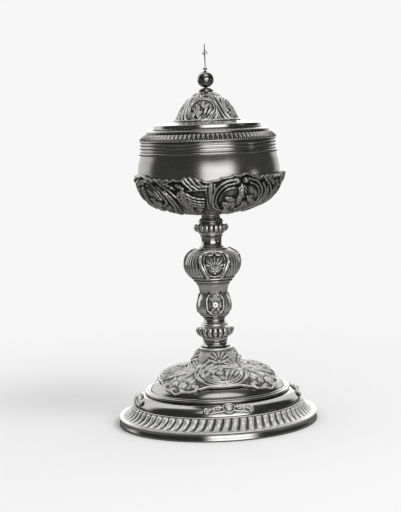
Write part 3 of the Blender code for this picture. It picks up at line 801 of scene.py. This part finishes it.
def calyx_relief(sheet):
    """Four oval cartouches in scrolled frames under a curling crest, with plumes between them."""
    sheet.pillow((1, 44), (20, 18), 1.5)
    sheet.ring(sheet.last - 0.7, 0.8, 1.6)
    frames = [[(-3, 65.5), (-12, 64), (-18.6, 59.5), (-20.8, 52.5), (-19.4, 44), (-14.6, 36), (-7, 30.6)],
              [(-4, 62.2), (-11.6, 60.8), (-16.6, 56.4), (-18, 50), (-16.4, 43), (-12.4, 37.4)],
              [(-5, 59), (-11, 57.6), (-14.4, 53.4), (-15.2, 48)]]
    for points, width in zip(frames, (1, 0.75, 0.6)):
        sheet.line(points, (width, width * 0.8), 1.3)
    frames = [[(6.5, 65.6), (14.6, 63.4), (20.4, 58), (22.4, 51.6), (20.6, 45.6), (15.2, 42.6)],
              [(9, 62), (15, 59.4), (18.6, 54.4), (18.8, 49)],
              [(22, 61), (26.4, 55), (26.4, 48), (22.6, 40), (14.4, 32), (6, 24), (2.6, 18)],
              [(28, 58), (30.2, 51), (28, 43.4), (22, 35), (14, 27)]]
    for points, width in zip(frames, (1, 0.7, 0.95, 0.65)):
        sheet.line(points, (width, width * 0.7), 1.3)
    sheet.volute((13.4, 45.4), 2.6, -90, -1.2, 0.7, 1.1)
    sheet.volute((-5.6, 33.4), 2.8, -100, 1.2, 0.7, 1.1)
    sheet.bead((-3.2, 64), 2.2, 2.7)
    sheet.bead((4, 64.4), 2.2, 2.7)
    sheet.pit((0.4, 60.6), 3, 0.8)
    sheet.leaf((0.4, 67.4), (-6.6, 69.8), 1.5, 1.4)
    sheet.acanthus([(1, 61), (2, 55), (0.4, 49), (1.2, 42)], 3.6, 1.2, 6)
    sheet.grapes((-7.4, 44.4), 1.35, 4, 1.5)
    sheet.grapes((9.4, 50.6), 1.15, 3, 1.3)
    sheet.leaf((-3, 47), (-11.6, 50.6), 2.5, 1.2)
    sheet.leaf((3.6, 45.4), (10.6, 41), 2.3, 1.2)
    sheet.wheat((-1.2, 33.4), (-2.6, 43.4), 1.1, 1.1)
    sheet.wheat((2.8, 33.4), (6, 42.4), 1.1, 1.1)
    sheet.leaf((0.6, 34), (8.4, 35), 1.7, 1)
    sheet.acanthus([(12, 67), (22, 67), (32, 63.4), (38, 58.6)], 3.2, 1.4, 7)
    sheet.line([(25, 63.4), (31.4, 58.4), (35.6, 51.4), (34, 44)], (0.9, 0.5), 1.3)
    rib = sheet.about(-24)
    rib.line([(0.4, 63), (0.2, 54), (0, 44), (0, 30)], (2.1, 1), (0.7, 0.5))
    rib.pair([(3.4, 62), (2.9, 52), (2.3, 42), (1.6, 30)], (0.6, 0.4), 0.7)
    plume = sheet.about(-37)
    for k, (top, sweep) in enumerate(((-8.6, 1), (-5, 1.5), (-0.8, 2.2), (3.4, 3))):
        low = 57.4 + 1.1 * k
        plume.line([(top - 1.6, 68.4), (top + 1.2, 64.8), (top + 4.2, 61), (top + 6.2 + sweep, low)],
                   (1.6, 0.5), (2.4, 0.9))
    plume.line([(-5.4, 57.2), (1, 57.6), (8.8, 57.8)], (0.6, 0.8), 0.9)
    for k in range(4):
        lower = 3.6 * k
        plume.line([(-6.6 + 0.4 * k, 54.8 - lower), (-2.6, 51.6 - lower), (2.4, 49.6 - lower),
            (7.6 - 0.9 * k, 49.0 - lower)], (0.9, 0.55), 1.1)
    for k in range(4):
        plume.bead((-5.0 + 2.4 * k, 38.4 + 0.7 * k), 1.1, 1.2)
    plume.leaf((0, 37), (0.6, 27), 2.8, 1.1)
    sheet.about(-49).acanthus([(3, 59), (0.6, 50), (1.6, 40), (0.4, 28)], 4.4, 1.1, 9)
    sheet.about(-49).leaf((-3, 63), (4.6, 58.4), 1.8, 1.1)
    plume.leaf((-1.4, 26.4), (-0.4, 17), 1.9, 1)
    for k in range(3):
        sheet.about(30.0 * k - 30).leaf((0, 15), (0, 4), 2, 0.6, 3)
    sheet.ovals((0, 24.4), (4.6, 3.6), (0,), 0.6, 0.9)
    sheet.bead((0, 24.4), 3, 1.1, 0.75)
    sheet.punched(4, 63, 1.2, 0.16)


def calyx():
    mesh = revolve("calyx_shell", spline(CALYX, 0.55), 1.2, 600, calyx_relief, 4, 24, stop=crest)
    add_piece(mesh, CHASED, ["calyx"], 75)


CUP_FLOOR = 175.95           # height of the outside of the bowl's flat floor


def cup_skin(outer, start, end):
    """A closed cup between two distances inside its outer line, from the axis up and back to it."""
    inward = normals_of(outer)
    return chain(outer - start * inward, (outer - end * inward)[::-1])


def bowl():
    """The plain cup inside the calyx, and its gilt lining."""
    against = spline(CALYX[:9], 1)
    nested = against - 1.55 * normals_of(against)
    nested = nested[nested[:, 1] > CUP_FLOOR + 0.05]
    base = spline([(0.4, CUP_FLOOR), (nested[0][0] - 1, CUP_FLOOR)], 1)
    free = spline([nested[-1], (58.4, 204), (58.1, 210), (57.1, 216), (55.6, 221.5)], 1)
    outer = chain(base, nested, free)
    mesh = revolve("bowl_shell", cup_skin(outer, 0, 0.75), None, 192)
    add_piece(mesh, DULLED, ["bowl"])
    lining = cup_skin(outer, 0.8, 1)
    lining[:, 1] = np.minimum(lining[:, 1], 221.4)
    mesh = revolve("bowl_lining", lining, None, 128)
    add_piece(mesh, GILT, [])


# ------------------------------------------------------------------------------------ lid
def lid_band():
    outline = chain([(54.5, 221.8), (55.9, 221.8), (55.9, 221.1)], arc((55.9, 222.2), 1.1, -75, 80, 9),
        [(55.4, 223.4)], arc((55.3, 224.4), 0.85, -75, 75, 8), [(55.4, 225.8)], arc((55.3, 227.1), 0.85,
        -75, 75, 8), [(55.4, 228.5)], arc((55.3, 229.8), 0.85, -75, 75, 8), [(55.4, 231.2), (54.5, 231.2)])
    ring_of("lid_reeded_band", outline, 320, ["lid_band"], body="lid")
    bezel = [(53.3, 213.5), (53.8, 213.5), (54.2, 214.2), (54.2, 222), (54.2, 229.8), (53.3, 229.8), (53.3,
        222)]
    ring_of("lid_bezel_ring", bezel, 256, ["lid_bezel"], GILT, "lid")


def leaf_band():
    """A sloping band of upright leaves with darts between them."""
    leaves = 90

    def relief(sheet):
        low, high = 1.3, 7.6
        share = np.clip((sheet.v - low) / (high - low), 0, 1)
        inside = (sheet.v > low) & (sheet.v < high)
        x = sheet.across(leaves)
        edge = 0.86 * np.sqrt(np.clip(share * 1.12, 0, 1)) * (1.0 - 0.1 * share)
        leaf = rounded((x / np.maximum(edge, 1e-3)) ** 2)
        rib = 1 - 0.5 * np.exp(-(x / 0.16) ** 2)
        sheet.ground += np.where(inside, 0.95 * leaf * rib, 0)
        dart = np.abs(sheet.across(leaves, math.pi / leaves))
        sheet.ground += np.where(inside, 0.55 * np.clip(1 - dart / (0.3 * (1 - share) + 0.02), 0, 1), 0)
        sheet.ring(0.6, 0.6, 0.5)

    slope = spline([(55.6, 231.6), (55.2, 233.2), (53, 235.6), (50.6, 237.6)], 0.36)
    path = chain(slope, spline([(50.6, 237.6), (50.3, 238.2), (50.2, 239.7)], 0.4), spline([(50.2, 239.7),
        (49.6, 240.2), (46.2, 241.3)], 0.5))
    mesh = revolve("lid_leaf_and_dart", path, 0.9, leaves * 10, relief)
    add_piece(mesh, CHASED, ["lid_leaf_band"], 70, body="lid")


def lid_step():
    """An upright fillet under a nearly flat ledge."""
    face = spline([(45.6, 241.8), (44.9, 242.1), (44.7, 242.5), (44.6, 244.5)], 0.3)
    ledge = spline([(44.6, 244.5), (44.3, 244.9), (43.4, 245.1), (36, 246), (28.4, 247.3)], 0.5)
    mesh = revolve("lid_step_ring", chain(face, ledge), 0.8, 320)
    add_piece(mesh, POLISHED, ["lid_step"], body="lid")


def lid_dome_relief(sheet):
    """Four oval medallions of grapes and wheat, with twin ribs and flutes between them."""
    sheet.pillow((0, 11.5), (12.4, 12), 0.6)
    sheet.ovals((0, 11.6), (12, 11.4), (0, -1.7), 0.6, 0.8)
    sheet.grapes((-2.6, 9.6), 0.95, 4, 1.2)
    sheet.grapes((-6.4, 8.2), 0.8, 3, 1)
    sheet.leaf((-2, 10.6), (-8.2, 12.8), 1.7, 0.9)
    sheet.leaf((-1.6, 11.4), (-5, 17), 1.7, 0.9)
    sheet.leaf((0.6, 13.4), (1.4, 20.2), 1.6, 0.9)
    sheet.leaf((1.4, 13), (6.4, 17.4), 1.5, 0.9)
    sheet.wheat((1.6, 3.4), (4, 13), 0.9, 0.9)
    sheet.wheat((3.6, 3.8), (7.6, 12), 0.9, 0.9)
    sheet.wheat((5.6, 4.8), (9.6, 9.8), 0.8, 0.8)
    sheet.leaf((0.2, 5.4), (-2.6, 2.4), 1.1, 0.8)
    between = sheet.about(45)
    between.line([(-0.6, 24.6), (0.8, 17), (3, 8), (7.6, 1)], (0.8, 1.3), (1, 1.5))
    between.line([(-3.4, 24.4), (-2.2, 16), (-0.6, 7), (3, 0.8)], (0.6, 1), (0.9, 1.3))
    for k in range(4):
        between.line([(-3.8 - 0.3 * k, 13.0 - 1.5 * k), (-3.6 - 1.6 * k, 6.0 - k), (-2.2 - 2.6 * k, 1)],
            (0.5, 0.9), 1)
    between.leaf((4.6, 10), (8.8, 2.4), 1.6, 0.9)
    sheet.ring(0.9, 0.8, 0.7)
    sheet.punched(2, 24, 1.1, 0.15)


def lid_dome():
    path = spline([(27.6, 247.6), (25.4, 248.5), (24.1, 250.6), (21.2, 255.4), (18.7, 259.4), (16.4, 262.9),
        (13.4, 265.5), (8, 266.9), (1.9, 267.2)], 0.36)
    mesh = revolve("lid_dome_shell", path, 1.1, 480, lid_dome_relief, 4, -12)
    add_piece(mesh, LID_CHASED, ["lid_dome"], 75, body="lid")


def leaf_cap():
    """Eight leaves that turn down over the top of the lid."""
    count = 8

    def relief(sheet):
        x = sheet.across(count)
        out = np.clip((8.0 - sheet.v) / 8, 0, 1)
        sheet.ground += 0.9 * out * (1 - x ** 2) + 0.5 * np.exp(-(x / 0.14) ** 2) * np.clip(out * 2, 0, 1)
        sheet.ground -= 0.4 * np.exp(-((np.abs(x) - 1) / 0.12) ** 2)

    def edge(turn):
        x = (turn * count / TAU + 0.5) % 1.0 * 2 - 1
        return 3.4 * np.abs(x) ** 2.2

    path = spline([(10.8, 267.3), (10, 268.2), (8, 269), (5, 269.5), (2, 269.6)], 0.3)
    mesh = revolve("lid_leaf_rosette", path, 0.6, 256, relief, count, 10, start=edge)
    add_piece(mesh, CAST, ["lid_leaf_cap"], 70, body="lid")


def finial():
    plain("finial_disc", [(4.4, 270.2), (5.6, 270.6), (6, 271.6), (5.7, 272.6), (4.8, 273.2), (4.3, 273.7)],
        1.2, 96, ["finial_collar"], 0.2, DARKENED, "lid")
    angle = np.radians(np.linspace(-82, 70, 40))
    ball = np.stack([6.8 * np.cos(angle), 280.9 + 6.55 * np.sin(angle)], 1)
    neck = spline([ball[-1], (1.3, 287.5), (0.7, 288), (0.3, 288.1)], 0.25)
    mesh = revolve("finial_orb", chain(ball, neck), None, 96)
    add_piece(mesh, DARKENED, ["finial_ball"], body="lid")
    angle = np.radians(np.linspace(-84, 84, 20))
    bead = np.stack([1.8 * np.cos(angle), 289.5 + 1.2 * np.sin(angle)], 1)
    mesh = revolve("finial_knot", bead, None, 48)
    add_piece(mesh, POLISHED, ["finial_bead"], body="lid")


def cross():
    """A slender cross with flared, pointed ends and a small stud at its centre."""
    centre, yaw = 302.4, math.radians(-70)
    arm = [(0.62, 0.9), (0.62, 3.6), (1.25, 4.7), (0.62, 5.2), (0, 5.6)]
    stem = [(0.62, -0.9), (0.62, -5), (0.75, -10.2), (1.2, -11.2), (0.5, -11.3)]
    crown = [(0.62, 0.9), (0.62, 4.8), (1.3, 6.1), (0.62, 6.6), (0, 7.05)]
    vertices, faces = [], []

    def bar(outline, along, across):
        """A bar with a ridged section: each station is a lozenge with cut corners."""
        rings = []
        for half, reach in [(0.62, 0)] + outline:
            ring = []
            for x, y in ((1, 0), (0.6, 0.6), (0, 0.8), (-0.6, 0.6), (-1, 0), (-0.6, -0.6), (0, -0.8), (0.6,
                    -0.6)):
                depth = 0.62 * y
                side = max(half, 0.03) * x
                at = np.array(along) * reach + np.array(across) * side
                ring.append((at[0], depth, at[1]))
            rings.append(len(vertices))
            vertices.extend(ring)
        for low, high in zip(rings, rings[1:]):
            for k in range(8):
                after = (k + 1) % 8
                faces.append((low + k, low + after, high + after, high + k))
        faces.append(tuple(rings[0] + k for k in reversed(range(8))))
        faces.append(tuple(rings[-1] + k for k in range(8)))

    bar(arm, (1, 0), (0, -1))
    bar(arm, (-1, 0), (0, 1))
    bar([(h, abs(r)) for h, r in stem], (0, -1), (-1, 0))
    bar(crown, (0, 1), (1, 0))
    for k in range(4):
        angle = math.radians(45 + 90 * k)
        bar([(0.32, 1.2), (0.22, 2.1), (0, 2.5)], (math.cos(angle), math.sin(angle)),
            (math.sin(angle), -math.cos(angle)))
    turn = Matrix.Translation((0, 0, centre * MM)) @ Matrix.Rotation(yaw, 4, "Z") @ Matrix.Scale(MM, 4)
    mesh = bpy.data.meshes.new("finial_cross_bars")
    mesh.from_pydata([turn @ Vector(p) for p in vertices], [], faces)
    mesh.update()
    mesh.validate()
    mesh.attributes.new("wear", "FLOAT", "POINT")
    add_piece(mesh, CAST, ["finial_cross"], 30, body="lid")


# ------------------------------------------------------------------------------------ assembly
def build_vessel():
    rim_band()
    gadroon_flange()
    torus()
    reeded_ring()
    foot_dome()
    plaques()
    shoulder()
    plain("spool", [(11.2, 62.6), (9.7, 64.2), (9.4, 66), (10.6, 67.6)], 2, 128, ["foot_spool"])
    knop("lower_gadroon_knop", [(10.2, 67.9), (10.4, 69.2), (11.4, 70.6), (13.9, 72.8), (14.9, 75), (14.9,
        76.8), (14.2, 78.4), (12, 79.6), (11.2, 80.2), (11, 81), (10,
        81.9)], 20, 1.2, 2.8, 12.6, ["lower_knop"])
    plain("stem_ring", [(9.8, 82.2), (8.7, 83.6), (8.5, 85.2), (10.2, 87.1)], 1.5, 128, ["lower_stem_ring"])
    baluster()
    plain("neck", [(10.4, 144.3), (10, 145), (8.5, 147), (8.1, 149.8), (8.5, 152.6), (9.8, 154.3)], 1.6, 128,
          ["stem_neck"])
    knop("upper_gadroon_knop", [(9.6, 154.6), (9.2, 155.1), (10.4, 155.8), (10.6, 156.6), (10.2, 157.2),
        (12.2, 158), (13.3, 159.4), (13.5, 160.8), (13.3, 162.2), (12.2, 163.2), (10.6, 163.8), (9.6,
        164.4)], 20, 1.1, 3.6, 12.4, ["upper_knop"])
    plain("collar", [(9.4, 164.7), (10.5, 165.3), (10.3, 166.2), (9.6, 167.2), (8.5, 168.1), (7.6, 168.7),
        (7.9, 169.5), (7.5, 170.3), (7.8, 171.5)], 1.3, 128, ["upper_collar"])
    calyx()
    bowl()


def build_lid():
    lid_band()
    leaf_band()
    lid_step()
    lid_dome()
    leaf_cap()
    finial()
    cross()


def dress_hardware():
    """The rods, nuts, washer and boss keep their CAD shapes and get the worn metals."""
    steel = ("tie_rod", "tie_rod_washer", "tie_rod_nut", "finial_stud", "finial_nut")
    for name in steel + ("bowl_boss",):
        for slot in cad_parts[name].material_slots:
            slot.material = STEEL if name in steel else POLISHED[0]


# ------------------------------------------------------------------------------------ stage
CAMERA_PLACE = (-0.0096, -1.161, 0.2558)      # metres
CAMERA_PITCH, CAMERA_ROLL = 0.1019, -0.0385   # radians, downwards and to the side
CAMERA_LENS = 99.85                           # millimetres
BACKDROP = (0.935, 0.935, 0.935, 1)           # what the eye sees round the paper
FILL = (0.80, 0.80, 0.80, 1)                  # light from the surroundings on what isn't glossy
PAPER = (0.855, 0.855, 0.855, 1)
# painted shade: the paper seen in the metal is darker than the paper the eye sees
PAPER_PAINTED_SHADE_IN_METAL = (0.26, 0.26, 0.26, 1)


def camera():
    """The camera stands in front, a little above the cup, and leans two degrees."""
    pitch, roll = CAMERA_PITCH, CAMERA_ROLL
    lens = bpy.data.cameras.new("camera")
    lens.sensor_width = 36.0
    lens.lens = CAMERA_LENS
    lens.sensor_fit = "AUTO"
    lens.clip_start, lens.clip_end = 0.05, 50.0
    eye = bpy.data.objects.new("camera", lens)
    ahead = Vector((0, math.cos(pitch), -math.sin(pitch)))
    level_up = Vector((0, math.sin(pitch), math.cos(pitch)))
    level_right = Vector((1, 0, 0))
    right = level_right * math.cos(roll) + level_up * math.sin(roll)
    up = level_up * math.cos(roll) - level_right * math.sin(roll)
    axes = Matrix((right, up, -ahead)).transposed().to_4x4()
    eye.matrix_world = Matrix.Translation(CAMERA_PLACE) @ axes
    bpy.context.scene.collection.objects.link(eye)
    bpy.context.scene.camera = eye


def math_node(tree, operation, *values):
    """One arithmetic node; each value is a number or a socket."""
    made = node(tree, "ShaderNodeMath", operation=operation)
    for socket, value in zip(made.inputs, values):
        feed(tree, socket, value)
    return made.outputs[0]


def soft_step(tree, value, start, end):
    """1 below start, 0 above end, smooth between."""
    made = node(tree, "ShaderNodeMapRange", interpolation_type="SMOOTHSTEP", Value=value,
        **{"From Min": start, "From Max": end, "To Min": 1.0, "To Max": 0.0})
    return made.outputs[0]


def near_angle(tree, angle, centre, half, edge):
    """1 while an angle is within half of a centre, with a soft edge; the last three are in degrees."""
    away = math_node(tree, "SUBTRACT", angle, math.radians(centre))
    away = math_node(tree, "ABSOLUTE", math_node(tree, "WRAP", away, math.pi, -math.pi))
    return soft_step(tree, away, math.radians(half - edge), math.radians(half + edge))


def azimuth_and_height(tree, direction):
    """The azimuth of a direction or place, and its Z."""
    x, y, z = node(tree, "ShaderNodeSeparateXYZ", Vector=direction).outputs
    return math_node(tree, "ARCTAN2", x, math_node(tree, "MULTIPLY", y, -1.0)), z


# azimuth, half width, elevation, half height, brightness, soft edge; in degrees, azimuth 0 in front
PANELS = [(14, 26, 6, 14, 1.75, 7), (12, 46, 60, 18, 0.9, 10), (76, 5, -4, 4, 2.4, 2), (-137, 27, 10, 70,
    0.85, 10), (155, 22, 10, 70, 0.85, 10), (180, 14, 6, 20, 1.6, 8)]


def studio():
    """Pale surroundings for the eye, even light on the floor, and a dark room with windows in the metal."""
    world = bpy.data.worlds.new("studio")
    bpy.context.scene.world = world
    world.use_nodes = True
    world.cycles.sampling_method = "NONE"
    tree = world.node_tree
    background = tree.nodes["Background"]
    direction = tree.nodes.new("ShaderNodeTexCoord").outputs["Generated"]
    azimuth, z = azimuth_and_height(tree, direction)
    elevation = math_node(tree, "ARCSINE", z)
    overhead = soft_step(tree, elevation, math.radians(40), math.radians(85))
    room = math_node(tree, "MULTIPLY_ADD", overhead, -0.16, 0.24)
    for centre, half, height, half_height, brightness, edge in PANELS:
        wide = near_angle(tree, azimuth, centre, half, edge)
        tall = near_angle(tree, elevation, height, half_height, edge)
        room = math_node(tree, "MULTIPLY_ADD", math_node(tree, "MULTIPLY", wide, tall), brightness, room)
    path = tree.nodes.new("ShaderNodeLightPath")
    gloss = mixed(tree, "MIX", FILL, room, path.outputs["Is Glossy Ray"])
    seen = mixed(tree, "MIX", gloss, BACKDROP, path.outputs["Is Camera Ray"])
    tree.links.new(seen, background.inputs["Color"])


def floor():
    """A pale sheet of paper that fades into the pale surroundings; in the metal it shows painted shade,
    darker than the eye sees it, and a glowing painted light patch in front.
    """
    half = 3.0
    mesh = bpy.data.meshes.new("floor")
    mesh.from_pydata([(-half, -half, 0), (half, -half, 0), (half, half, 0), (-half, half, 0)], [], [(0, 1,
        2, 3)])
    made = bpy.data.objects.new("floor", mesh)
    bpy.context.scene.collection.objects.link(made)
    paper = bpy.data.materials.new("pale_paper")
    paper.use_nodes = True
    tree = paper.node_tree
    shader = tree.nodes["Principled BSDF"]
    shader.inputs["Roughness"].default_value = 0.9
    shader.inputs["Specular IOR Level"].default_value = 0.0
    place = tree.nodes.new("ShaderNodeTexCoord").outputs["Object"]
    length = node(tree, "ShaderNodeVectorMath", operation="LENGTH", Vector=place).outputs["Value"]
    azimuth, _ = azimuth_and_height(tree, place)
    outside = math_node(tree, "SUBTRACT", 1.0, soft_step(tree, length, 0.17, 0.30))
    # painted light: a glowing bright patch on the far paper in front, seen only in the metal, over darker
    # paper that is painted shade
    window = math_node(tree, "MULTIPLY", near_angle(tree, azimuth, 12, 20, 6), outside)
    painted_light_and_shade_in_metal = math_node(tree, "MULTIPLY_ADD", window, 0.75, 0.15)
    in_metal = tree.nodes.new("ShaderNodeLightPath").outputs["Is Glossy Ray"]
    # painted shade: the near paper is darker when seen in the metal
    near = mixed(tree, "MIX", PAPER, PAPER_PAINTED_SHADE_IN_METAL, in_metal)
    tree.links.new(near, shader.inputs["Base Color"])
    far = mixed(tree, "MIX", BACKDROP, painted_light_and_shade_in_metal, in_metal)
    glow = node(tree, "ShaderNodeEmission", Color=far)
    blend = node(tree, "ShaderNodeMixShader", Fac=soft_step(tree, length, 0.14, 0.60))
    tree.links.new(glow.outputs[0], blend.inputs[1])
    tree.links.new(shader.outputs[0], blend.inputs[2])
    tree.links.new(blend.outputs[0], tree.nodes["Material Output"].inputs["Surface"])
    mesh.materials.append(paper)


def key_light():
    """A wide soft lamp high on the right, for the shadow on the floor."""
    lamp = bpy.data.lights.new("key", "AREA")
    lamp.shape = "RECTANGLE"
    lamp.size, lamp.size_y = 1.6, 1.2
    lamp.energy = 34.0
    made = bpy.data.objects.new("key", lamp)
    made.location = (1.5, -1.3, 2.1)
    made.rotation_euler = (Vector((0, 0, 0.1)) - made.location).to_track_quat("-Z", "Y").to_euler()
    made.visible_glossy = False
    made.visible_camera = False
    bpy.context.scene.collection.objects.link(made)


def print_tones():
    """The hard contrast of a black-and-white print."""
    view = bpy.context.scene.view_settings
    view.view_transform = "Standard"
    view.look = "None"
    view.use_curve_mapping = True
    curve = view.curve_mapping.curves[3]
    curve.points.new(0.10, 0.055)
    curve.points.new(0.35, 0.30)
    view.curve_mapping.update()


build_vessel()
build_lid()
dress_hardware()
camera()
studio()
floor()
key_light()
print_tones()
